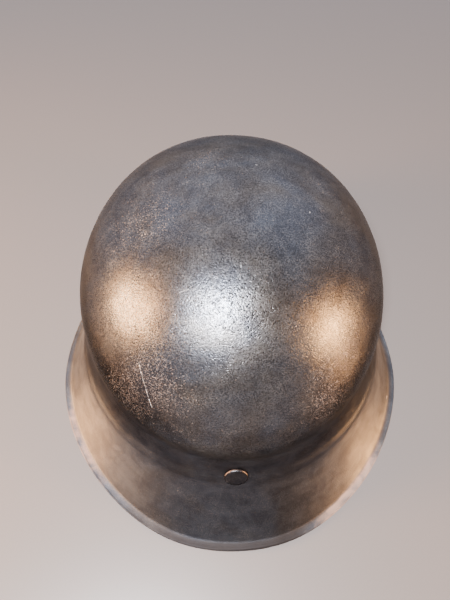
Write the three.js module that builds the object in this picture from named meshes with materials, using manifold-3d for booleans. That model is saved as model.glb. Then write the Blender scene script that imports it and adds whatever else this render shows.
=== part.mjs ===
// Air raid helmet of pressed steel: one shell with a raised bead and an out-turned rim, and its three
// liner rivets. Millimetres, +Z up. The visor looks along -Y, the neck skirt along +Y, and the rim
// rests on z = 0 at both ears.
import * as THREE from "three";
import { mergeVertices } from "three/addons/utils/BufferGeometryUtils.js";
import Module from "manifold-3d";

const wasm = await Module();
wasm.setup();

// Crown: its outline at the foot, measured outside, and its top
const HALF_WIDTH = 95.5;
const CROWN_BACK = 109;
const CROWN_FRONT = 106;
const HEIGHT = 158.5;
const APEX_BACK = 12;
const FOOT_FRONT = 78;
const FOOT_SIDE = 71;
const FOOT_BACK = 64;

// Skirt and visor: how far the rim stands out from the crown's foot, and how high its edge rises
const VISOR = 27;
const SKIRT_SIDE = 33;
const SKIRT_BACK = 41;
const VISOR_RISE = 46;
const BACK_RISE = 3;

// Sheet, out-turned rim and raised bead
const WALL = 1.2;
const LIP = 4.2;
const LIP_BEND = 2.2;
const BEAD_WIDTH = 9;
const BEAD_PROUD = 1.5;
const BEAD_FRONT = 62;
const BEAD_SIDE = 37;
const BEAD_BACK = 43;

// Split rivets: a domed head outside, a shank through the sheet and two legs folded flat inside
const RIVET_HEAD = 13.8;
const RIVET_DOME = 1.9;
const RIVET_EDGE = 0.9;
const RIVET_SHANK = 5;
const RIVET_LEG_LENGTH = 11;
const RIVET_LEG_WIDTH = 4;
const RIVET_LEG_THICK = 0.9;
const GAP = 0.3;
const BACK_RIVET_ABOVE_BEAD = 3.5;
const SIDE_RIVET_ABOVE_BEAD = 13;
const SIDE_RIVET_ANGLE = 57;

// The bead runs out beside the back rivet, so that its head lies on smooth sheet
const SEAT_MARGIN = 1.2;
const SEAT_FADE = 5;

// How finely the shell is divided
const COLUMN_STEP = 5;
const CROWN_ROWS = 11;
const UPPER_FLARE_ROWS = 2;
const BEAD_ROWS = 6;
const LOWER_FLARE_ROWS = 4;
const BEND_ROWS = 2;
const ROUND_SIDES = 24;
const DOME_ROWS = 4;

// How finely the working is done: tries under a rivet's head, halvings of a search, a small step, and
// how many walls long the cutter of a hole is
const SEAT_TRY_COUNT = 6;
const HALVING_COUNT = 50;
const NUDGE = 1e-4;
const CUTTER_WALL_COUNT = 8;

// Stations every 15 degrees, from the visor (first) past the ear to the back (last).
// reach: shares of VISOR, SKIRT_SIDE and SKIRT_BACK. rise: shares of VISOR_RISE and BACK_RISE.
// foot: shares of the FOOT and BEAD heights at the front, side and back.
// turn: how far down its drop the wall turns outwards. full: how closely it follows that corner.
const STATION_DEGREES = 15;
const COLUMNS = ["visor", "side", "back", "visorRise", "backRise", "front", "ear", "nape", "turn", "full"];
const STATIONS = [
  [1.00, 0.00, 0.00, 1.00, 0.00, 1.00, 0.00, 0.00, 0.28, 1.50],
  [0.98, 0.00, 0.00, 1.00, 0.00, 1.00, 0.00, 0.00, 0.28, 1.50],
  [0.90, 0.02, 0.00, 0.98, 0.00, 0.95, 0.05, 0.00, 0.30, 1.40],
  [0.70, 0.08, 0.00, 0.92, 0.00, 0.80, 0.20, 0.00, 0.34, 1.30],
  [0.38, 0.22, 0.00, 0.50, 0.00, 0.55, 0.45, 0.00, 0.40, 1.20],
  [0.12, 0.56, 0.00, 0.00, 0.00, 0.25, 0.75, 0.00, 0.44, 1.10],
  [0.00, 0.82, 0.00, 0.00, 0.00, 0.08, 0.92, 0.00, 0.45, 1.00],
  [0.00, 1.00, 0.00, 0.00, 0.00, 0.00, 0.95, 0.05, 0.45, 1.00],
  [0.00, 0.86, 0.16, 0.00, 0.00, 0.00, 0.75, 0.25, 0.44, 1.00],
  [0.00, 0.54, 0.46, 0.00, 0.00, 0.00, 0.45, 0.55, 0.42, 1.00],
  [0.00, 0.20, 0.78, 0.00, 0.00, 0.00, 0.15, 0.85, 0.40, 1.10],
  [0.00, 0.04, 0.98, 0.00, 0.80, 0.00, 0.00, 1.00, 0.40, 1.10],
  [0.00, 0.00, 1.00, 0.00, 1.00, 0.00, 0.00, 1.00, 0.40, 1.10],
];

const radians = THREE.MathUtils.degToRad;

// One column of the table at any angle, as a smooth closed spline that is alike on both sides
function column(name, degrees) {
  const index = COLUMNS.indexOf(name);
  const last = STATIONS.length - 1;
  const place = degrees / STATION_DEGREES;
  const first = Math.floor(place);
  const part = place - first;
  const weights = [
    (1 - part) ** 3 / 6,
    (3 * part ** 3 - 6 * part ** 2 + 4) / 6,
    (-3 * part ** 3 + 3 * part ** 2 + 3 * part + 1) / 6,
    part ** 3 / 6,
  ];
  let sum = 0;
  for (let k = 0; k < 4; k += 1) {
    const step = (((first - 1 + k) % (2 * last)) + 2 * last) % (2 * last);
    sum += weights[k] * STATIONS[step <= last ? step : 2 * last - step][index];
  }
  return sum;
}

function blend(degrees, shares) {
  return Object.entries(shares).reduce((sum, [name, size]) => sum + column(name, degrees) * size, 0);
}

// The crown's outline at its foot, an egg, with its outward direction
function outline(degrees) {
  const angle = radians(degrees);
  const half = (CROWN_BACK + CROWN_FRONT) / 2;
  const egg = (CROWN_BACK - CROWN_FRONT) / 2;
  const point = new THREE.Vector2(
    HALF_WIDTH * Math.sin(angle),
    -half * Math.cos(angle) + egg * Math.cos(angle) ** 2,
  );
  const along = new THREE.Vector2(
    HALF_WIDTH * Math.cos(angle),
    half * Math.sin(angle) - 2 * egg * Math.cos(angle) * Math.sin(angle),
  );
  return { point, outward: new THREE.Vector2(along.y, -along.x).normalize() };
}

// What the wall follows at one angle: its foot, the corner it turns in, the crease of its rim, its bead
function station(degrees) {
  const foot = blend(degrees, { front: FOOT_FRONT, ear: FOOT_SIDE, nape: FOOT_BACK });
  const bead = blend(degrees, { front: BEAD_FRONT, ear: BEAD_SIDE, nape: BEAD_BACK });
  const reach = blend(degrees, { visor: VISOR, side: SKIRT_SIDE, back: SKIRT_BACK });
  const rise = blend(degrees, { visorRise: VISOR_RISE, backRise: BACK_RISE });
  const crease = new THREE.Vector2(reach - LIP, rise + WALL);
  const corner = new THREE.Vector2(0, foot - (foot - crease.y) * column("turn", degrees));
  const bend = crease.clone().add(corner.clone().sub(crease).setLength(LIP_BEND));
  return { foot, bead, reach, crease, corner, bend, full: column("full", degrees) };
}

// A conic from start to end that leaves along the corner and arrives from it: x is out, y is up
function conic(start, corner, end, full, share) {
  const a = (1 - share) ** 2;
  const b = 2 * full * share * (1 - share);
  const c = share ** 2;
  const point = start.clone().multiplyScalar(a);
  point.addScaledVector(corner, b).addScaledVector(end, c);
  return point.divideScalar(a + b + c);
}

function smooth(value) {
  const share = THREE.MathUtils.clamp(value, 0, 1);
  return share * share * (3 - 2 * share);
}

// Degrees from the visor to the back rivet, and how far along the outline a column lies from it
const BACK = 180;
const ROUND = 360;
const SEAT = RIVET_HEAD / 2 + SEAT_MARGIN;

function fromBackRivet(degrees) {
  return Math.abs(((degrees % ROUND) + ROUND) % ROUND - BACK) * radians(1) * HALF_WIDTH;
}

function beadShare(degrees) {
  return smooth((fromBackRivet(degrees) - SEAT) / SEAT_FADE);
}

// The wall below the foot. place runs 0 to 1 down the flare, to 2 round the bend, to 3 along the lip.
function wall(degrees, place) {
  const at = station(degrees);
  const start = new THREE.Vector2(0, at.foot);
  if (place <= 1) {
    const point = conic(start, at.corner, at.bend, at.full, place);
    const offset = (point.y - at.bead) / (BEAD_WIDTH / 2);
    if (Math.abs(offset) < 1) {
      const next = conic(start, at.corner, at.bend, at.full, place + NUDGE);
      const along = next.sub(point).normalize();
      const lift = BEAD_PROUD * beadShare(degrees) * (1 - offset ** 2) ** 2;
      point.addScaledVector(new THREE.Vector2(-along.y, along.x), lift);
    }
    return point;
  }
  const level = at.crease.clone().add(new THREE.Vector2(LIP_BEND, 0));
  if (place <= 2) {
    return conic(at.bend, at.crease, level, 1, place - 1);
  }
  return level.lerp(new THREE.Vector2(at.reach, at.crease.y), place - 2);
}

// The outer surface. place runs 0 to 1 from the crown's top to its foot, and then 1 more than wall's.
function surface(degrees, place) {
  const { point, outward } = outline(degrees);
  if (place <= 1) {
    const angle = place * Math.PI / 2;
    const foot = station(degrees).foot;
    const out = Math.sin(angle);
    return new THREE.Vector3(
      point.x * out,
      APEX_BACK + (point.y - APEX_BACK) * out,
      foot + (HEIGHT - foot) * Math.cos(angle),
    );
  }
  const side = wall(degrees, place - 1);
  return new THREE.Vector3(point.x + outward.x * side.x, point.y + outward.y * side.x, side.y);
}

function normal(degrees, place) {
  const around = surface(degrees + NUDGE, place).sub(surface(degrees - NUDGE, place));
  const down = surface(degrees, place + NUDGE).sub(surface(degrees, place - NUDGE));
  return down.cross(around).normalize();
}

// Where the wall has a given height, found by halving
function placeAtHeight(degrees, height) {
  let above = 0;
  let below = 2;
  for (let step = 0; step < HALVING_COUNT; step += 1) {
    const middle = (above + below) / 2;
    if (surface(degrees, middle).z > height) {
      above = middle;
    } else {
      below = middle;
    }
  }
  return (above + below) / 2;
}

// Rows of one column, from below the top to the edge: crown, flare, bead, flare, bend and lip
function rowPlaces(degrees) {
  const places = [];
  const bead = station(degrees).bead;
  const beadTop = flarePlace(degrees, bead + BEAD_WIDTH / 2);
  const beadFoot = flarePlace(degrees, bead - BEAD_WIDTH / 2);
  const spread = (from, to, count) => {
    for (let k = 1; k <= count; k += 1) {
      places.push(from + (to - from) * k / count);
    }
  };
  spread(0, 1, CROWN_ROWS);
  spread(1, beadTop, UPPER_FLARE_ROWS);
  spread(beadTop, beadFoot, BEAD_ROWS);
  spread(beadFoot, 2, LOWER_FLARE_ROWS);
  spread(2, 3, BEND_ROWS);
  spread(3, 4, 1);
  return places;
}

// As placeAtHeight, on the flare alone and as if it had no bead
function flarePlace(degrees, height) {
  const at = station(degrees);
  const start = new THREE.Vector2(0, at.foot);
  let above = 0;
  let below = 1;
  for (let step = 0; step < HALVING_COUNT; step += 1) {
    const middle = (above + below) / 2;
    if (conic(start, at.corner, at.bend, at.full, middle).y > height) {
      above = middle;
    } else {
      below = middle;
    }
  }
  return 1 + (above + below) / 2;
}

// Columns every COLUMN_STEP, and closer ones where the bead runs out at the back rivet
function columnAngles() {
  const angles = new Set();
  for (let degrees = 0; degrees < ROUND; degrees += COLUMN_STEP) {
    angles.add(degrees);
  }
  for (const distance of [SEAT, SEAT + SEAT_FADE]) {
    const turn = distance / (radians(1) * HALF_WIDTH);
    angles.add(BACK - turn);
    angles.add(BACK + turn);
  }
  return [...angles].sort((a, b) => a - b);
}

// The sheet as a closed body: an outer skin, an inner skin one wall inside it, and the raw edge
function shellBlank() {
  const angles = columnAngles();
  const columns = angles.map((degrees) => rowPlaces(degrees));
  const rows = columns[0].length;
  const points = [];
  const skins = [];
  for (const depth of [0, WALL]) {
    const skin = { top: points.length, rings: [] };
    points.push(new THREE.Vector3(0, APEX_BACK, HEIGHT - depth));
    for (let row = 0; row < rows; row += 1) {
      skin.rings.push(points.length);
      angles.forEach((degrees, index) => {
        const place = columns[index][row];
        points.push(surface(degrees, place).addScaledVector(normal(degrees, place), -depth));
      });
    }
    skins.push(skin);
  }
  const faces = [];
  const count = angles.length;
  const quad = (a, b, c, d) => faces.push(a, b, c, a, c, d);
  for (let k = 0; k < count; k += 1) {
    const next = (k + 1) % count;
    const [outer, inner] = skins;
    faces.push(outer.top, outer.rings[0] + k, outer.rings[0] + next);
    faces.push(inner.top, inner.rings[0] + next, inner.rings[0] + k);
    for (let row = 1; row < rows; row += 1) {
      const [up, low] = [outer.rings[row - 1], outer.rings[row]];
      quad(low + k, low + next, up + next, up + k);
      const [upIn, lowIn] = [inner.rings[row - 1], inner.rings[row]];
      quad(lowIn + next, lowIn + k, upIn + k, upIn + next);
    }
    const edge = outer.rings[rows - 1];
    const edgeIn = inner.rings[rows - 1];
    quad(edgeIn + k, edgeIn + next, edge + next, edge + k);
  }
  const geometry = new THREE.BufferGeometry().setFromPoints(points);
  geometry.setIndex(faces);
  return geometry;
}

function toManifold(geometry) {
  const bare = geometry.clone();
  bare.deleteAttribute("normal");
  bare.deleteAttribute("uv");
  const merged = mergeVertices(bare);
  return new wasm.Manifold(new wasm.Mesh({
    numProp: 3,
    vertProperties: new Float32Array(merged.attributes.position.array),
    triVerts: new Uint32Array(merged.index.array),
  }));
}

function toGeometry(solid) {
  const mesh = solid.getMesh();
  const geometry = new THREE.BufferGeometry();
  geometry.setAttribute("position", new THREE.BufferAttribute(mesh.vertProperties, 3));
  geometry.setIndex(new THREE.BufferAttribute(mesh.triVerts, 1));
  geometry.computeVertexNormals();
  return geometry;
}

// Where each rivet sits: on the wall, above the bead, square to the sheet. rise is how far the sheet
// curves up under the head, which a flat-backed head has to clear.
function rivetSeat(degrees, aboveBead) {
  const place = placeAtHeight(degrees, station(degrees).bead + aboveBead);
  const position = surface(degrees, place);
  const turn = new THREE.Quaternion().setFromUnitVectors(new THREE.Vector3(0, 0, 1), normal(degrees, place));
  const upright = turn.clone().invert();
  const radius = RIVET_HEAD / 2;
  const span = SEAT / (radians(1) * HALF_WIDTH);
  let rise = 0;
  for (let i = -SEAT_TRY_COUNT; i <= SEAT_TRY_COUNT; i += 1) {
    for (let j = -SEAT_TRY_COUNT; j <= SEAT_TRY_COUNT; j += 1) {
      const aside = degrees + span * i / SEAT_TRY_COUNT;
      const height = position.z + SEAT * j / SEAT_TRY_COUNT;
      const local = surface(aside, placeAtHeight(aside, height)).sub(position).applyQuaternion(upright);
      if (Math.hypot(local.x, local.y) <= radius) {
        rise = Math.max(rise, local.z);
      }
    }
  }
  return { position, turn, rise };
}

const RIVETS = {
  back_rivet: rivetSeat(BACK, BACK_RIVET_ABOVE_BEAD),
  left_rivet: rivetSeat(SIDE_RIVET_ANGLE, SIDE_RIVET_ABOVE_BEAD),
  right_rivet: rivetSeat(ROUND - SIDE_RIVET_ANGLE, SIDE_RIVET_ABOVE_BEAD),
};

// A hole for each shank, cut through the sheet with clearance
function shell() {
  let body = toManifold(shellBlank());
  for (const seat of Object.values(RIVETS)) {
    const hole = new THREE.CylinderGeometry(
      RIVET_SHANK / 2 + GAP, RIVET_SHANK / 2 + GAP, CUTTER_WALL_COUNT * WALL, ROUND_SIDES,
    );
    hole.rotateX(Math.PI / 2).applyQuaternion(seat.turn);
    hole.translate(seat.position.x, seat.position.y, seat.position.z);
    body = body.subtract(toManifold(hole));
  }
  return toGeometry(body);
}

// One rivet along its own axis, with the sheet's outer face at 0
function rivet(rise) {
  const lift = rise + GAP;
  const under = -(WALL + GAP);
  const profile = [new THREE.Vector2(0, under - RIVET_LEG_THICK)];
  profile.push(new THREE.Vector2(RIVET_SHANK / 2, under - RIVET_LEG_THICK));
  profile.push(new THREE.Vector2(RIVET_SHANK / 2, lift));
  profile.push(new THREE.Vector2(RIVET_HEAD / 2, lift));
  for (let k = 0; k < DOME_ROWS; k += 1) {
    const angle = k / DOME_ROWS * Math.PI / 2;
    const up = lift + RIVET_EDGE + (RIVET_DOME - RIVET_EDGE) * Math.sin(angle);
    profile.push(new THREE.Vector2(RIVET_HEAD / 2 * Math.cos(angle), up));
  }
  profile.push(new THREE.Vector2(0, lift + RIVET_DOME));
  const round = new THREE.LatheGeometry(profile, ROUND_SIDES).rotateX(Math.PI / 2);
  let body = toManifold(round);
  for (const side of [-1, 1]) {
    const leg = new THREE.BoxGeometry(RIVET_LEG_WIDTH, RIVET_LEG_LENGTH, RIVET_LEG_THICK);
    leg.translate(0, side * RIVET_LEG_LENGTH / 2, under - RIVET_LEG_THICK / 2);
    body = body.add(toManifold(leg));
  }
  return toGeometry(body);
}

function paint(color, roughness, metalness) {
  return new THREE.MeshStandardMaterial({ color, roughness, metalness });
}

function build() {
  const helmet = new THREE.Group();
  const sheet = new THREE.Mesh(shell(), paint(0x24272d, 0.5, 0.3));
  sheet.name = "shell";
  helmet.add(sheet);
  for (const [name, seat] of Object.entries(RIVETS)) {
    const mesh = new THREE.Mesh(rivet(seat.rise), paint(0x3a3835, 0.55, 0.5));
    mesh.name = name;
    mesh.position.copy(seat.position);
    mesh.quaternion.copy(seat.turn);
    helmet.add(mesh);
  }
  // The origin lies under the middle of the whole, on the plane that the rim rests on
  const middle = new THREE.Box3().setFromObject(helmet).getCenter(new THREE.Vector3());
  helmet.position.y = -middle.y;
  return helmet;
}

export default build();
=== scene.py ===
"""Air raid helmet of pressed steel with worn dark paint, seen from behind and above on a pale floor.

The sizes are in millimetres, as in the part's source, and every mesh is made in metres in its frame:
+Z up, +Y towards the neck skirt, +X the wearer's left.
"""
import math

import bpy
import numpy as np
from mathutils import Matrix, Vector


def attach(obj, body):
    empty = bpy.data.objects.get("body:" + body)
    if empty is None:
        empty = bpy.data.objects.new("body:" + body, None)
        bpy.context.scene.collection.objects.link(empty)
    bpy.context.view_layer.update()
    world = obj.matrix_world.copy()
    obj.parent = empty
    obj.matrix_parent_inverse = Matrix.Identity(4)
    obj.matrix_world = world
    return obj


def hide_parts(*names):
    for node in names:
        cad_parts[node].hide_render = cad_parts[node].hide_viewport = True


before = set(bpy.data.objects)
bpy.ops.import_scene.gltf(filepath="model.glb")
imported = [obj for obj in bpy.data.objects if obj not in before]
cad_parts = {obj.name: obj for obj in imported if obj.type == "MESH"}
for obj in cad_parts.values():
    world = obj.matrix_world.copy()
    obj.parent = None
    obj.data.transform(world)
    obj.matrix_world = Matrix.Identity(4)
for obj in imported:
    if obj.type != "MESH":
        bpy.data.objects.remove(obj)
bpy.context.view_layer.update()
MM = 0.001

# Crown: its outline at the foot, measured outside, and its top
HALF_WIDTH = 95.5
CROWN_BACK = 109.0
CROWN_FRONT = 106.0
HEIGHT = 158.5
APEX_BACK = 12.0
FOOT = {"front": 78.0, "ear": 71.0, "nape": 64.0}

# Skirt and visor: how far the rim stands out from the crown's foot, and how high its edge rises
REACH = {"visor": 27.0, "side": 33.0, "back": 41.0}
RISE = {"visor_rise": 46.0, "back_rise": 3.0}

# Sheet, out-turned rim and raised bead
WALL = 1.2
LIP = 4.2
LIP_BEND = 2.2
BEAD_WIDTH = 9.0
BEAD_PROUD = 0.5
BEAD = {"front": 62.0, "ear": 37.0, "nape": 43.0}

# Split rivets; the undercut rows give how far in from the head's edge and how far up it steps
RIVET_HEAD = 13.8
RIVET_DOME = 1.9
RIVET_EDGE = 0.9
RIVET_SHANK = 5.0
RIVET_LEG_LENGTH = 11.0
RIVET_LEG_WIDTH = 4.0
RIVET_LEG_THICK = 0.9
RIVET_UNDERCUT = ((0.35, 0.0), (0.08, 0.12))
RIVET_EDGE_START = 0.45
LEG_FIRST_ROW = 0.05
LEG_TIP_SHARE = 0.2
LEG_TIP_WIDTH = 0.3
LEG_SQUARENESS = 0.4
GAP = 0.3
BACK_RIVET_ABOVE_BEAD = 3.5
SIDE_RIVET_ABOVE_BEAD = 13.0
SIDE_RIVET_ANGLE = 57.0
SEAT_CLEARANCE = 1.2
SEAT = RIVET_HEAD / 2 + SEAT_CLEARANCE
SEAT_FADE = 5.0

# Stations every 15 degrees, from the visor (first) past the ear to the back (last): shares of REACH,
# of RISE, of FOOT and BEAD, then where the wall turns outwards and how closely it follows that corner
STATION = 15.0
COLUMNS = ("visor", "side", "back", "visor_rise", "back_rise", "front", "ear", "nape", "turn", "full")
STATIONS = np.array([
    [1.00, 0.00, 0.00, 1.00, 0.00, 1.00, 0.00, 0.00, 0.28, 1.50],
    [0.98, 0.00, 0.00, 1.00, 0.00, 1.00, 0.00, 0.00, 0.28, 1.50],
    [0.90, 0.02, 0.00, 0.98, 0.00, 0.95, 0.05, 0.00, 0.30, 1.40],
    [0.70, 0.08, 0.00, 0.92, 0.00, 0.80, 0.20, 0.00, 0.34, 1.30],
    [0.38, 0.22, 0.00, 0.50, 0.00, 0.55, 0.45, 0.00, 0.40, 1.20],
    [0.12, 0.56, 0.00, 0.00, 0.00, 0.25, 0.75, 0.00, 0.44, 0.90],
    [0.00, 0.82, 0.00, 0.00, 0.00, 0.08, 0.92, 0.00, 0.45, 0.70],
    [0.00, 1.00, 0.00, 0.00, 0.00, 0.00, 0.95, 0.05, 0.45, 0.62],
    [0.00, 0.86, 0.16, 0.00, 0.00, 0.00, 0.75, 0.25, 0.44, 0.60],
    [0.00, 0.54, 0.46, 0.00, 0.00, 0.00, 0.45, 0.55, 0.42, 0.60],
    [0.00, 0.20, 0.78, 0.00, 0.00, 0.00, 0.15, 0.85, 0.40, 0.65],
    [0.00, 0.04, 0.98, 0.00, 0.80, 0.00, 0.00, 1.00, 0.40, 0.75],
    [0.00, 0.00, 1.00, 0.00, 1.00, 0.00, 0.00, 1.00, 0.40, 0.80],
])

# How finely the shell is divided, in columns all round and rows down each stretch, and the rivets
COLUMN_COUNT = 360
CROWN_ROWS = 44
UPPER_FLARE_ROWS = 8
BEAD_ROWS = 16
LOWER_FLARE_ROWS = 18
BEND_ROWS = 6
LIP_ROWS = 3
EDGE_ROWS = 6
HEAD_SIDES = 72
HEAD_ROWS = 14
HEAD_EDGE_ROWS = 3
LEG_SIDES = 20
LEG_ROWS = 16
SEAT_SAMPLES = 13
SEAT_MARGIN = 1.2

# Steps of the numerical searches
NUDGE = 1e-4
HALVINGS = 40


# Shape of the sheet, all angles in degrees from the visor


def column(name, degrees):
    """One column of the table at any angle, as a smooth closed spline alike on both sides."""
    values = STATIONS[:, COLUMNS.index(name)]
    ring = np.concatenate([values, values[-2:0:-1]])
    place = np.asarray(degrees, float) / STATION
    first = np.floor(place).astype(int)
    part = place - first
    weights = (
        (1 - part) ** 3 / 6,
        (3 * part ** 3 - 6 * part ** 2 + 4) / 6,
        (-3 * part ** 3 + 3 * part ** 2 + 3 * part + 1) / 6,
        part ** 3 / 6,
    )
    return sum(weight * ring[(first - 1 + k) % len(ring)] for k, weight in enumerate(weights))


def blend(degrees, shares):
    """The sum of some columns, each times its size in millimetres."""
    return sum(column(name, degrees) * size for name, size in shares.items())


def outline(degrees):
    """The crown's outline at its foot, an egg, with its outward direction."""
    angle = np.radians(degrees)
    half = (CROWN_BACK + CROWN_FRONT) / 2
    egg = (CROWN_BACK - CROWN_FRONT) / 2
    x = HALF_WIDTH * np.sin(angle)
    y = -half * np.cos(angle) + egg * np.cos(angle) ** 2
    along_x = HALF_WIDTH * np.cos(angle)
    along_y = half * np.sin(angle) - 2 * egg * np.cos(angle) * np.sin(angle)
    length = np.hypot(along_x, along_y)
    return x, y, along_y / length, -along_x / length


def conic(start, corner, end, full, share):
    """A conic from start to end that leaves along the corner and arrives from it."""
    a = (1 - share) ** 2
    b = 2 * full * share * (1 - share)
    c = share ** 2
    return (start * a + corner * b + end * c) / (a + b + c)


def smooth(value):
    """0 below 0, 1 above 1 and smooth between."""
    share = np.clip(value, 0, 1)
    return share * share * (3 - 2 * share)


def bead_share(degrees):
    """The bead runs out beside the back rivet, so that its head lies on smooth sheet."""
    away = np.abs(np.asarray(degrees, float) % 360 - 180) * math.radians(1) * HALF_WIDTH
    return smooth((away - SEAT) / SEAT_FADE)


class Station:
    """What the wall follows at each angle: out and up of the corner it turns in and of its rim."""

    def __init__(self, degrees):
        self.foot = blend(degrees, FOOT)
        self.bead = blend(degrees, BEAD)
        self.reach = blend(degrees, REACH)
        self.full = column("full", degrees)
        self.crease_out = self.reach - LIP
        self.crease_up = blend(degrees, RISE) + WALL
        self.corner_up = self.foot - (self.foot - self.crease_up) * column("turn", degrees)
        slope_out = -self.crease_out
        slope_up = self.corner_up - self.crease_up
        length = np.hypot(slope_out, slope_up)
        self.bend_out = self.crease_out + slope_out / length * LIP_BEND
        self.bend_up = self.crease_up + slope_up / length * LIP_BEND

    def flare(self, share):
        out = conic(0 * self.foot, 0 * self.foot, self.bend_out, self.full, share)
        up = conic(self.foot, self.corner_up, self.bend_up, self.full, share)
        return out, up

    def flare_share(self, height):
        """How far down the flare has a given height, found by halving."""
        above = np.zeros_like(self.foot)
        below = np.ones_like(self.foot)
        for _ in range(HALVINGS):
            middle = (above + below) / 2
            high = self.flare(middle)[1] > height
            above = np.where(high, middle, above)
            below = np.where(high, below, middle)
        return (above + below) / 2


def wall(degrees, place):
    """The wall below the foot: place runs to 1 down the flare, to 2 round the bend, to 3 along the lip."""
    at = Station(degrees)
    share = np.clip(place, 0, 1)
    out, up = at.flare(share)
    out_next, up_next = at.flare(share + NUDGE)
    length = np.hypot(out_next - out, up_next - up)
    offset = np.clip((up - at.bead) / (BEAD_WIDTH / 2), -1, 1)
    lift = BEAD_PROUD * bead_share(degrees) * (1 - offset ** 2) ** 2
    flare_out = out + lift * (up - up_next) / length
    flare_up = up + lift * (out_next - out) / length
    level_out = at.crease_out + LIP_BEND
    turn = np.clip(place - 1, 0, 1)
    bend_out = conic(at.bend_out, at.crease_out, level_out, 1.0, turn)
    bend_up = conic(at.bend_up, at.crease_up, at.crease_up, 1.0, turn)
    along = np.maximum(place - 2, 0)
    lip_out = level_out + (at.reach - level_out) * along
    out = np.where(place <= 1, flare_out, np.where(place <= 2, bend_out, lip_out))
    up = np.where(place <= 1, flare_up, np.where(place <= 2, bend_up, at.crease_up))
    return out, up


def surface(degrees, place):
    """The outer face: place runs 0 to 1 from the crown's top to its foot, then 1 more than wall's."""
    degrees, place = np.broadcast_arrays(np.asarray(degrees, float), np.asarray(place, float))
    x, y, outward_x, outward_y = outline(degrees)
    foot = blend(degrees, FOOT)
    angle = np.minimum(place, 1) * math.pi / 2
    share = np.sin(angle)
    out, up = wall(degrees, np.maximum(place - 1, 0))
    crown = place <= 1
    return np.stack([
        np.where(crown, x * share, x + outward_x * out),
        np.where(crown, APEX_BACK + (y - APEX_BACK) * share, y + outward_y * out),
        np.where(crown, foot + (HEIGHT - foot) * np.cos(angle), up),
    ], -1)


def normal(degrees, place):
    """The outer face's outward direction, from nearby points on both sides."""
    around = surface(degrees + NUDGE, place) - surface(degrees - NUDGE, place)
    down = surface(degrees, place + NUDGE) - surface(degrees, place - NUDGE)
    cross = np.cross(down, around)
    return cross / np.linalg.norm(cross, axis=-1, keepdims=True)


def place_at_height(degrees, height):
    """The place at a given height on the crown or the flare, found by halving."""
    above, below = 0.0, 2.0
    for _ in range(HALVINGS):
        middle = (above + below) / 2
        if surface(degrees, middle)[2] > height:
            above = middle
        else:
            below = middle
    return (above + below) / 2


# The part's origin is under the middle of its length, and the outline's is not
MIDDLE_Y = (surface(0.0, 4.0)[1] + surface(180.0, 4.0)[1]) / 2
TO_FRAME = np.array([0.0, -MIDDLE_Y, 0.0])


# Meshes


def link(name, points, faces, marks=None):
    """A smooth mesh object in metres, in the part's frame, with named number marks on its points."""
    mesh = bpy.data.meshes.new(name)
    mesh.from_pydata(((points + TO_FRAME) * MM).tolist(), [], faces)
    mesh.update()
    mesh.shade_smooth()
    for mark, values in (marks or {}).items():
        attribute = mesh.attributes.new(mark, "FLOAT", "POINT")
        attribute.data.foreach_set("value", np.asarray(values, np.float32).ravel())
    piece = bpy.data.objects.new(name, mesh)
    bpy.context.scene.collection.objects.link(piece)
    return piece


def row_places(degrees):
    """Rows down each column to the edge of the rim: crown, flare, bead, flare, bend and lip."""
    at = Station(degrees)
    half = BEAD_WIDTH / 2
    marks = [
        (0.0, 1.0, CROWN_ROWS),
        (1.0, 1 + at.flare_share(at.bead + half), UPPER_FLARE_ROWS),
        (1 + at.flare_share(at.bead + half), 1 + at.flare_share(at.bead - half), BEAD_ROWS),
        (1 + at.flare_share(at.bead - half), 2.0, LOWER_FLARE_ROWS),
        (2.0, 3.0, BEND_ROWS),
        (3.0, 4.0, LIP_ROWS),
    ]
    rows = []
    for start, end, count in marks:
        for k in range(1, count + 1):
            rows.append(start + (end - start) * k / count + 0 * degrees)
    return np.array(rows)


# Unevenness of the sheet: size of the swells and depth in millimetres. It fades out at the rim's edge
RELIEF = ((70.0, 0.22), (26.0, 0.07), (11.0, 0.022))
RELIEF_WAVES = 40
WAVE_LENGTHS = (1.4, 3.0)
RIM_EDGE_PLACE = 4.0
RELIEF_FADE = 0.8


def waves(points, size, count, seed):
    """A gentle random relief between about -1 and 1, whose swells are size millimetres across."""
    rng = np.random.default_rng(seed)
    direction = rng.normal(size=(count, 3))
    direction /= np.linalg.norm(direction, axis=1, keepdims=True)
    pitch = 2 * math.pi / (size * rng.uniform(*WAVE_LENGTHS, count))
    phase = rng.uniform(0, 2 * math.pi, count)
    turns = points @ (direction * pitch[:, None]).T + phase
    return np.sin(turns).sum(-1) / math.sqrt(count)


# Patches of rust, deep pits and painted shade: angle from the visor, height, radius, strength
PATCHES = {
    "rust": (
        (150.0, 112.0, 26.0, 0.75),
        (141.0, 96.0, 22.0, 0.90),
        (160.0, 92.0, 22.0, 0.30),
        (180.0, 92.0, 20.0, 0.25),
        (200.0, 92.0, 22.0, 0.35),
        (212.0, 100.0, 22.0, 0.85),
        (222.0, 114.0, 24.0, 0.70),
        (95.0, 146.0, 26.0, 0.55),
        (20.0, 152.0, 16.0, 0.50),
        (285.0, 138.0, 22.0, 0.35),
    ),
    "pits": (
        (178.0, 147.0, 26.0, 1.00),
        (140.0, 128.0, 18.0, 0.50),
    ),
    # Patches of painted shade on the lower crown
    "painted_shade": (
        (139.0, 98.0, 28.0, 0.40),
        (120.0, 100.0, 18.0, 0.16),
        (218.0, 98.0, 20.0, 0.12),
    ),
}

# How worn the rim is, by angle from the visor: it is rubbed pale behind both ears, and this pale steel is
# partly a painted highlight of the side lamps on the lip
RIM_WEAR_AND_HIGHLIGHT = (
    (0, 0.2), (60, 0.2), (106, 0.2), (116, 0.8), (136, 0.7), (150, 0.3), (164, 0.1), (180, 0.0),
    (196, 0.1), (206, 0.9), (226, 0.9), (234, 0.4), (242, 0.2), (256, 0.2), (300, 0.2), (360, 0.2),
)

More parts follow.
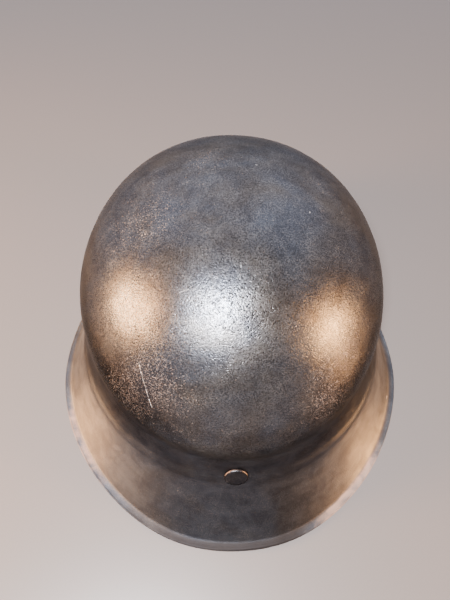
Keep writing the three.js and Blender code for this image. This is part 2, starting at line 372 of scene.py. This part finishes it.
# Fades of the paint's marks: where each begins, over how much it fades in, and how strong it gets.
# rim and lip go by place, sides by the sine of the angle, and the rest by millimetres below the crown's
# foot (even, band, rear), below the bead (skirt) or above it (band_end)
FADES = {
    "rim": (2.0, 0.6, 1.00),
    "lip": (1.85, 0.8, 1.00),
    # sides and skirt place the paler paint of the side skirts, a painted sheen
    "sides": (0.2, 0.6, 1.00),
    "even": (-16.0, 28.0, 0.90),
    "skirt": (-8.0, 28.0, 1.00),
    # band, band_end and rear place the painted shade: on the lower crown down to the bead, and at the back
    # below the crown's foot
    "band": (-58.0, 34.0, 0.40),
    "band_end": (-10.0, 24.0, 1.00),
    "rear": (0.0, 24.0, 0.36),
}
# Painted shade on the unworn lip, and the most painted shade that any point gets
LIP_PAINTED_SHADE = 0.65
MOST_PAINTED_SHADE = 0.92

# The marks in all, those that stay off the inner face, and the rivets' own
MARKS = ("rim", "lip", "even", "skirt", "painted_shade", "rust", "pits", "inside")
OUTSIDE_ONLY = ("skirt", "painted_shade", "rust", "pits")
# The rivets carry painted shade too
RIVET_MARKS = {"painted_shade": 0.60, "even": 0.50, "rust": 0.25}

# The rivet's rubbed edge, partly a painted highlight: how far in it begins and over how much, and the same
# upwards on the head
RUBBED_AND_HIGHLIT_IN = (0.4, 0.3)
RUBBED_AND_HIGHLIT_UP = (0.5, 3.0)


def fade(name, value):
    start, length, strength = FADES[name]
    return strength * smooth((value - start) / length)


def patches(points, table):
    """How strongly each point lies in the patches of a table."""
    total = np.zeros(points.shape[:-1])
    for degrees, height, radius, strength in table:
        centre = surface(degrees, place_at_height(degrees, height))
        away = np.linalg.norm(points - centre, axis=-1)
        total = np.maximum(total, strength * np.exp(-(away / radius) ** 2))
    return total


def shell_rings(degrees, places):
    """Both faces of the sheet and the half-round raw edge between them, as rings of points."""
    outer = surface(degrees[None, :], places)
    out = normal(degrees[None, :], places)
    relief = sum(
        depth * waves(outer, size, RELIEF_WAVES, seed) for seed, (size, depth) in enumerate(RELIEF))
    relief *= smooth((RIM_EDGE_PLACE - places) / RELIEF_FADE)
    outer = outer + out * relief[..., None]
    inner = outer - out * WALL
    side = np.cross(out[-1], np.roll(outer[-1], -1, 0) - np.roll(outer[-1], 1, 0))
    side /= np.linalg.norm(side, axis=-1, keepdims=True)
    outward = np.sign((side * (outer[-1] - outer[-2])).sum(-1, keepdims=True)) * side
    middle = (outer[-1] + inner[-1]) / 2 - outward * WALL / 2
    edge = []
    for k in range(1, EDGE_ROWS):
        angle = math.pi * k / EDGE_ROWS
        edge.append(middle + (out[-1] * math.cos(angle) + outward * math.sin(angle)) * WALL / 2)
    outer[-1] -= outward * WALL / 2
    inner[-1] -= outward * WALL / 2
    return outer, np.array(edge), inner[::-1]


def shell_faces(ring_count, count):
    """Quads between the rings, and a fan at either end to the middle of the crown."""
    top = ring_count * count
    end = (ring_count - 1) * count
    faces = []
    for k in range(count):
        after = (k + 1) % count
        faces.append((top, k, after))
        for row in range(ring_count - 1):
            low = (row + 1) * count
            high = row * count
            faces.append((low + k, low + after, high + after, high + k))
        faces.append((top + 1, end + after, end + k))
    return faces


def outer_marks(degrees, places, outer):
    """What the paint reads on the outer face: a share from 0 to 1 for each point."""
    at = Station(degrees)
    height = outer[..., 2]
    wear_and_highlight = np.interp(degrees, *zip(*RIM_WEAR_AND_HIGHLIGHT))
    sides = fade("sides", np.abs(np.sin(np.radians(degrees))))
    lip = fade("lip", places)
    # Painted shade: darker on the lower crown down to the bead, at the back below the crown's foot, on the
    # unworn lip and in listed patches
    painted_shade = fade("band", at.foot - height) * fade("band_end", height - at.bead)
    painted_shade = painted_shade + fade("rear", at.foot - height) * (1 - sides)
    painted_shade = painted_shade + LIP_PAINTED_SHADE * lip * (1 - wear_and_highlight) ** 2 + patches(outer, PATCHES["painted_shade"])
    return {
        "rim": fade("rim", places) * wear_and_highlight,
        "lip": lip,
        "even": fade("even", at.foot - height),
        "skirt": fade("skirt", at.bead - height) * sides * (1 - lip),
        "painted_shade": np.minimum(painted_shade, MOST_PAINTED_SHADE),
        "rust": patches(outer, PATCHES["rust"]),
        "pits": patches(outer, PATCHES["pits"]),
        "inside": 0 * height,
    }


def on_all_rings(name, values):
    """A mark of the outer face carried over the raw edge and the inner face, and both middle points."""
    ends = np.repeat(values[-1:], EDGE_ROWS - 1, 0)
    inner = values[::-1]
    if name == "rust":
        ends = 0 * ends
    if name in OUTSIDE_ONLY:
        inner = 0 * inner
    if name == "inside":
        inner = inner + 1
    rings = np.concatenate([values, ends, inner])
    return np.concatenate([rings.ravel(), [values[0, 0], inner[-1, 0]]])


def make_shell():
    degrees = np.arange(COLUMN_COUNT) * 360.0 / COLUMN_COUNT
    places = row_places(degrees)
    outer, edge, inner = shell_rings(degrees, places)
    rings = np.concatenate([outer, edge, inner])
    middles = [[0, APEX_BACK, HEIGHT], [0, APEX_BACK, HEIGHT - WALL]]
    points = np.concatenate([rings.reshape(-1, 3), middles])
    # The relief doesn't sink the rim below the surface that it rests on
    points[:, 2] = np.maximum(points[:, 2], 0)
    marks = {}
    for name, values in outer_marks(degrees, places, outer).items():
        marks[name] = on_all_rings(name, values)
    return link("steel_shell", points, shell_faces(len(rings), COLUMN_COUNT), marks)


def spun(profile, sides):
    """Points and faces of a closed profile (radius, up) turned about its axis, with its ends on it."""
    angles = 2 * math.pi * np.arange(sides) / sides
    rings = []
    for radius, up in profile[1:-1]:
        rings.append(np.stack([radius * np.cos(angles), radius * np.sin(angles), 0 * angles + up], -1))
    ends = [[0, 0, profile[0][1]], [0, 0, profile[-1][1]]]
    points = np.concatenate(rings + [ends])
    bottom = len(rings) * sides
    faces = []
    for k in range(sides):
        after = (k + 1) % sides
        faces.append((bottom, after, k))
        for row in range(len(rings) - 1):
            low = row * sides
            faces.append((low + k, low + after, low + sides + after, low + sides + k))
        end = (len(rings) - 1) * sides
        faces.append((bottom + 1, end + k, end + after))
    return points, faces


def head_profile(lift):
    """Head and shank from the legs' plane up to the top of the dome, with a rounded edge."""
    shank = RIVET_SHANK / 2
    radius = RIVET_HEAD / 2
    under = -(WALL + GAP)
    rows = [(0, under), (shank, under), (shank, lift)]
    for inwards, upwards in RIVET_UNDERCUT:
        rows.append((radius - inwards, lift + upwards))
    for k in range(HEAD_ROWS + 1):
        angle = k / HEAD_ROWS * math.pi / 2
        across = radius * math.cos(angle) if k < HEAD_ROWS else 0
        edge = RIVET_EDGE_START + (1 - RIVET_EDGE_START) * min(1, k / HEAD_EDGE_ROWS)
        rows.append((across, lift + RIVET_EDGE * edge + (RIVET_DOME - RIVET_EDGE) * math.sin(angle)))
    return rows


def make_rivet(name, node, degrees, above_bead):
    """A split rivet seated square to the sheet; its two legs are folded flat inside."""
    place = place_at_height(degrees, float(Station(np.array(degrees)).bead) + above_bead)
    seat = surface(degrees, place)
    up = Vector(normal(degrees, place))
    turn = Vector((0, 0, 1)).rotation_difference(up)
    points, faces = spun(head_profile(seat_rise(degrees, place, seat, up) + GAP), HEAD_SIDES)
    start, length = RUBBED_AND_HIGHLIT_IN
    inwards = RIVET_HEAD / 2 - np.hypot(points[:, 0], points[:, 1])
    rim = np.where(points[:, 2] > 0, smooth((start - inwards) / length), 0)
    for side in (-1, 1):
        bar, bar_faces = leg_bar(side)
        faces += [tuple(len(points) + k for k in face) for face in bar_faces]
        points = np.concatenate([points, bar])
        rim = np.concatenate([rim, np.zeros(len(bar))])
    placed = points @ np.array(turn.to_matrix()).T + seat
    # Only the upper part of the head's edge is rubbed bright: pale steel that is partly a painted highlight
    # where the light catches the top of the edge
    start, length = RUBBED_AND_HIGHLIT_UP
    rim = rim * smooth(((placed - seat)[:, 2] - start) / length)
    marks = {mark: 0 * rim + RIVET_MARKS.get(mark, 0.0) for mark in MARKS}
    marks["rim"] = rim
    piece = link(name, placed, faces, marks)
    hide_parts(node)
    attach(piece, "root")
    return piece


def seat_rise(degrees, place, seat, up):
    """How far the sheet curves up under the head, which a flat-backed head has to clear."""
    radius = RIVET_HEAD / 2
    reach = SEAT_MARGIN * radius
    span = reach / (math.radians(1) * HALF_WIDTH)
    rise = 0.0
    for aside in np.linspace(-span, span, SEAT_SAMPLES):
        for lift in np.linspace(-reach, reach, SEAT_SAMPLES):
            near = surface(degrees + aside, place_at_height(degrees + aside, seat[2] + lift)) - seat
            height = float(near @ np.array(up))
            across = math.sqrt(max(0.0, float(near @ near) - height ** 2))
            if across <= radius:
                rise = max(rise, height)
    return rise


def rounded(values):
    """Sines or cosines drawn towards a square, for a bar with rounded corners."""
    return np.sign(values) * np.abs(values) ** LEG_SQUARENESS


def leg_bar(side):
    """One leg, from the shank outwards, with a rounded tip."""
    under = -(WALL + GAP)
    angles = 2 * math.pi * np.arange(LEG_SIDES) / LEG_SIDES
    rings = []
    for share in np.concatenate([[0.0], np.linspace(LEG_FIRST_ROW, 1.0, LEG_ROWS)]):
        into_tip = max(0.0, (share - (1 - LEG_TIP_SHARE)) / LEG_TIP_SHARE)
        narrow = math.sqrt(max(0.0, 1 - into_tip ** 2))
        half = max(LEG_TIP_WIDTH / 2, RIVET_LEG_WIDTH / 2 * narrow)
        x = half * rounded(np.cos(angles))
        z = under - RIVET_LEG_THICK / 2 * (1 - rounded(np.sin(angles)))
        y = 0 * angles + side * share * RIVET_LEG_LENGTH
        rings.append(np.stack([x, y, z], -1))
    faces = []
    for row in range(len(rings) - 1):
        low = row * LEG_SIDES
        high = low + LEG_SIDES
        for k in range(LEG_SIDES):
            after = (k + 1) % LEG_SIDES
            faces.append((low + k, low + after, high + after, high + k))
    first = tuple(range(LEG_SIDES))
    faces.append(first[::-1])
    faces.append(tuple((len(rings) - 1) * LEG_SIDES + k for k in first))
    if side > 0:
        faces = [face[::-1] for face in faces]
    return np.concatenate(rings), faces


# Paint and wear


# Sockets of the colour mix node, whose names are shared with its other kinds
MIX_A = 6
MIX_B = 7
MIX_RESULT = 2


class Nodes:
    """A material's node tree, built one node at a time; a socket or a plain value sets an input."""

    def __init__(self, name):
        self.material = bpy.data.materials.new(name)
        self.material.use_nodes = True
        self.tree = self.material.node_tree
        self.tree.nodes.clear()
        self.output = self.tree.nodes.new("ShaderNodeOutputMaterial")

    def add(self, kind, inputs=None, **settings):
        node = self.tree.nodes.new(kind)
        for key, value in settings.items():
            setattr(node, key, value)
        for key, value in (inputs or {}).items():
            self.set(node.inputs[key], value)
        return node

    def set(self, socket, value):
        if isinstance(value, bpy.types.NodeSocket):
            self.tree.links.new(value, socket)
        else:
            socket.default_value = value

    def math(self, operation, a, b, clamp=False):
        node = self.add("ShaderNodeMath", {0: a, 1: b}, operation=operation, use_clamp=clamp)
        return node.outputs[0]

    def plus(self, a, b, clamp=False):
        return self.math("ADD", a, b, clamp)

    def minus(self, a, b):
        return self.math("SUBTRACT", a, b)

    def times(self, a, b):
        return self.math("MULTIPLY", a, b)

    def noise(self, coordinates, scale, detail, roughness, distortion=0.0):
        inputs = {
            "Vector": coordinates,
            "Scale": scale,
            "Detail": detail,
            "Roughness": roughness,
            "Distortion": distortion,
        }
        return self.add("ShaderNodeTexNoise", inputs).outputs["Fac"]

    def cells(self, coordinates, scale):
        """How far each point lies from the middle of its cell."""
        inputs = {"Vector": coordinates, "Scale": scale}
        return self.add("ShaderNodeTexVoronoi", inputs).outputs["Distance"]

    def step(self, value, low, high):
        """0 below low, 1 above high and smooth between; swap them to turn it round."""
        inputs = {"Value": value, "From Min": low, "From Max": high}
        node = self.add("ShaderNodeMapRange", inputs, interpolation_type="SMOOTHSTEP")
        return node.outputs["Result"]

    def mix(self, factor, a, b):
        """The colour a where the factor is 0 and b where it is 1."""
        inputs = {"Factor": factor, MIX_A: a, MIX_B: b}
        return self.add("ShaderNodeMix", inputs, data_type="RGBA").outputs[MIX_RESULT]

    def vector(self, operation, a, b):
        node = self.add("ShaderNodeVectorMath", {0: a, 1: b}, operation=operation)
        return node.outputs["Value" if operation == "DOT_PRODUCT" else "Vector"]

    def scaled(self, vector, factor):
        node = self.add("ShaderNodeVectorMath", {0: vector, "Scale": factor}, operation="SCALE")
        return node.outputs["Vector"]

    def beside(self, here, start, end, up):
        """How far a point lies from a straight mark on the sheet, seen square to the sheet."""
        away = self.vector("SUBTRACT", here, tuple(start))
        along = end - start
        share = self.vector("DOT_PRODUCT", away, tuple(along / along.length_squared))
        rest = self.vector("SUBTRACT", away, self.scaled(tuple(along), self.plus(share, 0.0, clamp=True)))
        lift = self.vector("DOT_PRODUCT", rest, tuple(up))
        flat = self.vector("SUBTRACT", rest, self.scaled(tuple(up), lift))
        return self.add("ShaderNodeVectorMath", {0: flat}, operation="LENGTH").outputs["Value"]

    def mark(self, name):
        return self.add("ShaderNodeAttribute", attribute_name=name).outputs["Fac"]

    def shader(self, inputs):
        node = self.add("ShaderNodeBsdfPrincipled", inputs)
        self.tree.links.new(node.outputs[0], self.output.inputs["Surface"])
        return self.material


# Colours of the paint and of what wears through it
BLUE_BLACK = (0.088, 0.098, 0.120, 1)
BROWN_BLACK = (0.099, 0.090, 0.084, 1)
# Paler paint of the side skirts: a painted sheen
SKIRT_SIDE_SHEEN = (0.220, 0.212, 0.208, 1)
DUSTY = (0.180, 0.175, 0.178, 1)
PIT_BLACK = (0.006, 0.006, 0.006, 1)
RUST_LIGHT = (0.270, 0.195, 0.150, 1)
RUST_DARK = (0.120, 0.085, 0.065, 1)
# Near-black colour of the painted shade
PAINTED_SHADE_BLACK = (0.020, 0.017, 0.016, 1)
# Pale steel of the rubbed edges, partly a painted highlight
BARE_STEEL_AND_HIGHLIGHT = (0.30, 0.195, 0.145, 1)
INSIDE_PAINT = (0.115, 0.108, 0.100, 1)
PALE_SCRATCH = (0.70, 0.68, 0.66, 1)

# Factors on the paint's colour: none, then the darker and the paler end of each
PLAIN = (1.0, 1.0, 1.0, 1)
GRAIN_ENDS = ((0.76, 0.76, 0.76, 1), (1.20, 1.20, 1.20, 1))
STAIN_ENDS = ((0.78, 0.77, 0.78, 1), (1.16, 1.15, 1.13, 1))
DRAWN_ENDS = ((0.92, 0.92, 0.92, 1), (1.07, 1.07, 1.07, 1))

# Tint of the reflection towards the edge of sight, on clean paint and under the painted shade, where it is
# dimmer
EDGE_CLEAN = (0.40, 0.40, 0.40, 1)
EDGE_PAINTED_SHADE = (0.15, 0.15, 0.15, 1)

# Noises of the paint: scale per metre, detail, roughness and distortion
NOISES = {
    "grain": (1500.0, 1.5, 0.6, 0.0),
    "speckle": (1300.0, 2.0, 0.7, 0.0),
    "blotch": (130.0, 4.0, 0.62, 0.4),
    "cloud": (24.0, 4.0, 0.55, 0.3),
    "pitted": (500.0, 2.0, 0.6, 0.0),
    "stain": (75.0, 5.0, 0.65, 0.5),
    "broken": (620.0, 2.0, 0.6, 0.0),
}
PIT_CELLS = 1050.0
DRAWN_STRETCH = (24.0, 24.0, 260.0)
DRAWN_NOISE = (1.0, 3.0, 0.6)

# Where each part of the paint sets in and where it is full, in the noise or mark that it is read from
STEPS = {
    "pit": (0.40, 0.20),
    "pitted": (0.36, 0.56),
    "brown": (0.34, 0.68),
    "dust": (0.46, 0.66),
    "dusty": (0.30, 0.62),
    "rusty": (0.50, 0.72),
    "rust": (0.00, 0.08),
    "rust_light": (0.40, 0.62),
    "grained": (0.36, 0.64),
    "stained": (0.34, 0.66),
    "drawn": (0.36, 0.64),
    "ragged": (0.35, 0.75),
    "worn_and_highlit": (0.02, 0.20),
    "broken": (0.30, 0.46),
}

# How much each part counts: pits and their growth in a patch, browns on even paint, dust, rust and wear
PIT_SHARE = 0.42
PIT_PATCH_SHARE = 0.56
PIT_PATCH_SIZE = 0.16
EVEN_BROWN = -0.30
DUST_SHARE = 0.55
RUST_BLOTCH = 0.25
RUST_LEVEL = 0.70
RUST_PATCH = 0.22
RUST_SHARE = 0.75
NOISE_MIDDLE = 0.5
RAGGEDNESS = 0.7

# What each part of the paint adds to the roughness and to the share of metal
BASE_GLOSS = (0.165, 0.86)
GLOSS = (
    ("grain", 0.13, 0.00),
    ("cloud", 0.10, 0.00),
    ("rust", 0.30, -0.90),
    ("bare_and_highlight", 0.15, -0.75),
    ("even", 0.12, 0.08),
    ("lip", 0.30, 0.00),
    ("painted_shade", 0.00, 0.14),
    ("inside", 0.00, -0.80),
)

# Depth of the grain's relief in metres, and how much the speckle and the pits count in it
BUMP_DEPTH = 0.00013
BUMP_SPECKLE = 0.5
BUMP_PIT = 0.4

# Scratches and chips: angle and height of both ends, width in millimetres, strength
SCRATCHES = (
    (142.6, 117.6, 147.0, 109.1, 0.30, 1.00),
    (147.0, 109.1, 151.0, 98.2, 0.30, 0.95),
    (146.0, 145.7, 150.0, 147.4, 0.30, 0.45),
    (336.0, 154.2, 336.8, 154.2, 0.55, 0.80),
    (268.0, 151.5, 268.6, 151.5, 0.55, 0.80),
    (182.6, 45.6, 183.2, 45.6, 0.55, 0.70),
    (245.8, 1.6, 246.6, 1.6, 0.80, 1.00),
)
SCRATCH_CORE = 0.3


def scratch_ends():
    """Each scratch as its two ends and the sheet's outward direction, in metres in the part's frame."""
    found = []
    for degrees, height, degrees_end, height_end, width, strength in SCRATCHES:
        start_place = place_at_height(degrees, height)
        start = Vector((surface(degrees, start_place) + TO_FRAME) * MM)
        end = Vector((surface(degrees_end, place_at_height(degrees_end, height_end)) + TO_FRAME) * MM)
        found.append((start, end, Vector(normal(degrees, start_place)), width * MM, strength))
    return found


def pits(n, here):
    """Small dark pits, thinned by a coarser noise and larger and deeper where a patch marks them."""
    marked = n.mark("pits")
    nearby = n.minus(n.cells(here, PIT_CELLS), n.times(marked, PIT_PATCH_SIZE))
    pitted = n.step(n.noise(here, *NOISES["pitted"]), *STEPS["pitted"])
    pit = n.times(n.step(nearby, *STEPS["pit"]), pitted)
    pit = n.times(pit, n.minus(1.0, n.mark("even")))
    return n.times(pit, n.plus(PIT_SHARE, n.times(marked, PIT_PATCH_SHARE)))


def worn_paint(name, bareness_and_highlight, scratches=()):
    """Dark paint that is finely pitted, with rust speckle, brown stains and rubbed edges that are partly
    painted highlights, painted shade low down and a painted sheen on the side skirts.
    """
    n = Nodes(name)
    here = n.add("ShaderNodeTexCoord").outputs["Object"]
    grain = n.noise(here, *NOISES["grain"])
    speckle = n.noise(here, *NOISES["speckle"])
    blotch = n.noise(here, *NOISES["blotch"])
    cloud = n.noise(here, *NOISES["cloud"])
    even = n.mark("even")
    painted_shade = n.mark("painted_shade")
    inside = n.mark("inside")
    pit = pits(n, here)
    # Paint: blue and brown clouds, a paler skirt at the sides as a painted sheen, dust in the grain, the
    # plain inside and the pits
    brown = n.plus(n.step(cloud, *STEPS["brown"]), n.times(even, EVEN_BROWN), clamp=True)
    color = n.mix(brown, BLUE_BLACK, BROWN_BLACK)
    color = n.mix(n.mark("skirt"), color, SKIRT_SIDE_SHEEN)
    dust = n.times(n.step(grain, *STEPS["dust"]), n.step(blotch, *STEPS["dusty"]))
    color = n.mix(n.times(dust, DUST_SHARE), color, DUSTY)
    color = n.mix(inside, color, INSIDE_PAINT)
    color = n.mix(pit, color, PIT_BLACK)
    # Rust: speckle that thickens where its patch is strong
    patch = n.plus(n.mark("rust"), n.times(n.step(blotch, *STEPS["rusty"]), RUST_BLOTCH))
    over = n.minus(speckle, n.minus(RUST_LEVEL, n.times(patch, RUST_PATCH)))
    rust = n.times(n.step(over, *STEPS["rust"]), RUST_SHARE)
    rust_color = n.mix(n.step(grain, *STEPS["rust_light"]), RUST_DARK, RUST_LIGHT)
    color = n.mix(rust, color, rust_color)
    # The paint is grained all over: each grain shines more or less than its neighbours
    bright = n.mix(n.step(grain, *STEPS["grained"]), *GRAIN_ENDS)
    color = n.vector("MULTIPLY", color, n.mix(even, bright, PLAIN))
    # Soft stains everywhere, and faint drawn lines that run round the lower wall
    stain = n.step(n.noise(here, *NOISES["stain"]), *STEPS["stained"])
    color = n.vector("MULTIPLY", color, n.mix(stain, *STAIN_ENDS))
    drawn = n.noise(n.vector("MULTIPLY", here, DRAWN_STRETCH), *DRAWN_NOISE)
    drawn = n.mix(n.step(drawn, *STEPS["drawn"]), *DRAWN_ENDS)
    color = n.vector("MULTIPLY", color, n.mix(even, PLAIN, drawn))
    # Wear: the rim and the rivet's edge are rubbed to steel in flecks; this pale steel is partly a painted
    # highlight on the lip and on the top of each rivet head
    worn_and_highlit = n.times(n.mark("rim"), bareness_and_highlight)
    ragged = n.plus(worn_and_highlit, n.times(n.minus(blotch, NOISE_MIDDLE), RAGGEDNESS))
    bare_and_highlight = n.times(n.step(ragged, *STEPS["ragged"]), n.step(worn_and_highlit, *STEPS["worn_and_highlit"]))
    color = n.mix(bare_and_highlight, color, BARE_STEEL_AND_HIGHLIGHT)
    # Painted shade: the paint goes near-black where its mark is strong
    color = n.mix(painted_shade, color, PAINTED_SHADE_BLACK)
    broken = n.step(n.noise(here, *NOISES["broken"]), *STEPS["broken"])
    for start, end, up, width, strength in scratches:
        line = n.step(n.beside(here, start, end, up), width, width * SCRATCH_CORE)
        color = n.mix(n.times(line, n.times(strength, broken)), color, PALE_SCRATCH)
    parts = {
        "grain": grain,
        "cloud": cloud,
        "rust": rust,
        "bare_and_highlight": bare_and_highlight,
        "even": even,
        "lip": n.mark("lip"),
        "painted_shade": painted_shade,
        "inside": inside,
    }
    rough, metal = BASE_GLOSS
    for part, more_rough, more_metal in GLOSS:
        if more_rough:
            rough = n.plus(rough, n.times(parts[part], more_rough))
        if more_metal:
            metal = n.plus(metal, n.times(parts[part], more_metal))
    height = n.minus(n.plus(grain, n.times(speckle, BUMP_SPECKLE)), n.times(pit, BUMP_PIT))
    bump = n.add("ShaderNodeBump", {"Strength": 1.0, "Distance": BUMP_DEPTH, "Height": height})
    return n.shader({
        "Base Color": color,
        "Roughness": rough,
        "Metallic": n.plus(metal, 0.0, clamp=True),
        "Specular IOR Level": 0.5,
        "Specular Tint": n.mix(painted_shade, EDGE_CLEAN, EDGE_PAINTED_SHADE),
        "Normal": bump.outputs["Normal"],
    })


# The surroundings: floor, camera and lights


# The floor's size in metres, and its plain pale stone with a faint noise
FLOOR_SIZE = 6.0
FLOOR_NOISE = (900.0, 2.0, 0.5)
FLOOR_ENDS = ((0.118, 0.104, 0.098, 1), (0.136, 0.121, 0.114, 1))
FLOOR_GLOSS = {"Roughness": 0.32, "Specular IOR Level": 0.7}


def make_floor():
    bpy.ops.mesh.primitive_plane_add(size=FLOOR_SIZE)
    floor = bpy.context.object
    floor.name = "floor"
    n = Nodes("pale_floor")
    here = n.add("ShaderNodeTexCoord").outputs["Object"]
    color = n.mix(n.noise(here, *FLOOR_NOISE), *FLOOR_ENDS)
    floor.data.materials.append(n.shader({"Base Color": color, **FLOOR_GLOSS}))


# The camera was solved from the helmet's outline in the photo: its place is in millimetres before the
# move to the frame, its angles in degrees, and its focal length in pixels of a picture this high
PHOTO_HEIGHT = 600.0
FOCAL_PIXELS = 450.0
SENSOR = 36.0
NEAREST = 0.01
CAMERA_AT = (10.1, 163.2, 320.2)
PITCH = 58.4
YAW = 2.15
ROLL = 1.03


def make_camera():
    pitch, yaw, roll = (math.radians(angle) for angle in (PITCH, YAW, ROLL))
    level = math.cos(pitch)
    forward = Vector((-math.sin(yaw) * level, -math.cos(yaw) * level, -math.sin(pitch)))
    across = forward.cross(Vector((0, 0, 1))).normalized()
    upright = across.cross(forward)
    right = across * math.cos(roll) + upright * math.sin(roll)
    up = upright * math.cos(roll) - across * math.sin(roll)
    data = bpy.data.cameras.new("camera")
    data.sensor_width = SENSOR
    data.lens = SENSOR * FOCAL_PIXELS / PHOTO_HEIGHT
    data.clip_start = NEAREST
    camera = bpy.data.objects.new("camera", data)
    bpy.context.scene.collection.objects.link(camera)
    turn = Matrix((right, up, -forward)).transposed().to_4x4()
    place = (Vector(CAMERA_AT) + Vector(TO_FRAME)) * MM
    camera.matrix_world = Matrix.Translation(place) @ turn
    bpy.context.scene.camera = camera


# Lights: name, place in metres, size, power in watts and colour, all aimed at the crown
LIGHTS = (
    ("left_warm", (0.68, 0.12, 0.27), 0.25, 22.0, (1.0, 0.50, 0.19)),
    ("middle_cool", (0.18, 0.44, 0.76), 0.15, 43.0, (0.93, 0.95, 1.0)),
    ("right_warm", (-0.95, 0.33, 0.26), 0.24, 26.0, (1.0, 0.48, 0.16)),
)
LIGHT_TARGET = (0.0, 0.0, 0.10)

# The room: its two ends, its strength, the direction of its bright end and where the change begins and ends
ROOM_DARK = (0.030, 0.024, 0.020, 1)
ROOM_BRIGHT = (1.95, 1.97, 2.25, 1)
ROOM_STRENGTH = 0.62
ROOM_TOWARD = (0.0, -0.96, 0.28)
ROOM_FROM = 0.15
ROOM_TO = 0.95


def make_lights():
    target = Vector(LIGHT_TARGET)
    for name, place, size, power, color in LIGHTS:
        data = bpy.data.lights.new(name, "AREA")
        data.shape = "DISK"
        data.size = size
        data.energy = power
        data.color = color
        light = bpy.data.objects.new(name, data)
        light.location = place
        light.rotation_euler = (Vector(place) - target).to_track_quat("Z", "Y").to_euler()
        bpy.context.scene.collection.objects.link(light)


def make_room():
    """A soft room round it all, brighter ahead of the helmet and above it than behind it."""
    world = bpy.data.worlds.new("soft_room")
    world.use_nodes = True
    tree = world.node_tree
    direction = tree.nodes.new("ShaderNodeTexCoord").outputs["Generated"]
    toward = tree.nodes.new("ShaderNodeVectorMath")
    toward.operation = "DOT_PRODUCT"
    toward.inputs[1].default_value = ROOM_TOWARD
    tree.links.new(direction, toward.inputs[0])
    ramp = tree.nodes.new("ShaderNodeMapRange")
    ramp.interpolation_type = "SMOOTHSTEP"
    ramp.inputs["From Min"].default_value = ROOM_FROM
    ramp.inputs["From Max"].default_value = ROOM_TO
    tree.links.new(toward.outputs["Value"], ramp.inputs["Value"])
    mix = tree.nodes.new("ShaderNodeMix")
    mix.data_type = "RGBA"
    mix.inputs[MIX_A].default_value = ROOM_DARK
    mix.inputs[MIX_B].default_value = ROOM_BRIGHT
    tree.links.new(ramp.outputs["Result"], mix.inputs["Factor"])
    background = tree.nodes["Background"]
    tree.links.new(mix.outputs[MIX_RESULT], background.inputs["Color"])
    background.inputs["Strength"].default_value = ROOM_STRENGTH
    bpy.context.scene.world = world


# How readily each rubbed edge shows bare steel, which is partly a painted highlight
SHELL_BARENESS_AND_HIGHLIGHT = 0.75
RIVET_BARENESS_AND_HIGHLIGHT = 0.6

# Rivets: name, the solid each replaces, angle from the visor and height above the bead
RIVETS = (
    ("back_split_rivet", "back_rivet", 180.0, BACK_RIVET_ABOVE_BEAD),
    ("left_split_rivet", "left_rivet", SIDE_RIVET_ANGLE, SIDE_RIVET_ABOVE_BEAD),
    ("right_split_rivet", "right_rivet", 360.0 - SIDE_RIVET_ANGLE, SIDE_RIVET_ABOVE_BEAD),
)

shell_paint = worn_paint("painted_steel", SHELL_BARENESS_AND_HIGHLIGHT, scratch_ends())
rivet_paint = worn_paint("rivet_paint", RIVET_BARENESS_AND_HIGHLIGHT)
shell = make_shell()
shell.data.materials.append(shell_paint)
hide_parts("shell")
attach(shell, "root")
for rivet_name, rivet_node, angle, above in RIVETS:
    rivet = make_rivet(rivet_name, rivet_node, angle, above)
    rivet.data.materials.append(rivet_paint)
make_floor()
make_camera()
make_lights()
make_room()
